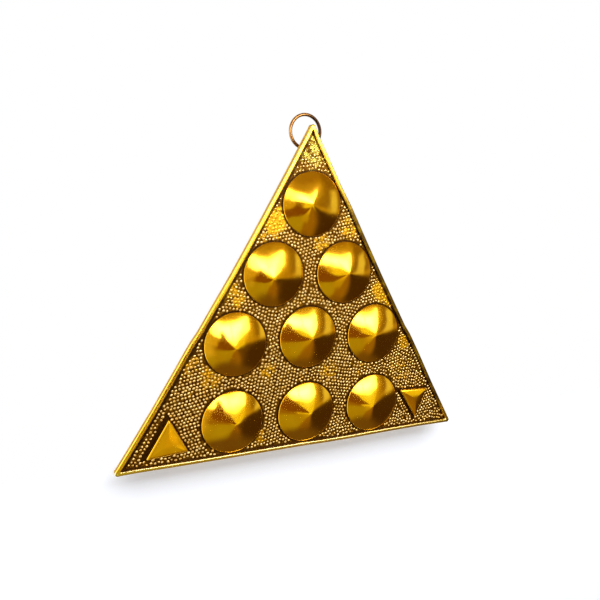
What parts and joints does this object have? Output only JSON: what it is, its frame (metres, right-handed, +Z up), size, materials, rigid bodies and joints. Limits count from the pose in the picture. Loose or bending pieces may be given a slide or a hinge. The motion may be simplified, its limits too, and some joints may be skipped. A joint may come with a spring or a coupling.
{
  "type": "navagraha yantra wall plaque",
  "caption": "Triangular brass wall plaque with polished cone bosses in rows on a beaded field, two small raised triangles and a wire hanging ring.",
  "frame": {"origin": "where the nail touches the inside of the hanging ring, at the ring's top, on its middle plane", "axes": "+X to the viewer's right along the plaque's foot, +Y back towards the wall along the plate's thickness, +Z up"},
  "size_m": [0.1528, 0.0123, 0.135],
  "materials": {
    "field_brass": "punched with small beads, dark patina between them",
    "border_brass": "worn satin polish",
    "polished_brass": "mirror polish",
    "ring_wire": "tarnished drawn wire"
  },
  "bodies": {
    "ring": {"hanging_ring": "ring_wire"},
    "plaque": {"base_plate": "field_brass", "border_strip": "border_brass", "boss_row1": "polished_brass", "boss_row2_left": "polished_brass", "boss_row2_right": "polished_brass", "boss_row3_left": "polished_brass", "boss_row3_middle": "polished_brass", "boss_row3_right": "polished_brass", "boss_row4_left": "polished_brass", "boss_row4_middle": "polished_brass", "boss_row4_right": "polished_brass", "triangle_up_left": "polished_brass", "triangle_down_right": "polished_brass", "hanging_lug": "border_brass"}
  },
  "joints": [
    {"name": "plaque_swing", "type": "hinge", "parent": "ring", "child": "plaque", "pos_m": [0, 0, -0.01225], "axis": [1, 0, 0], "range_deg": [-85, 195]}
  ]
}
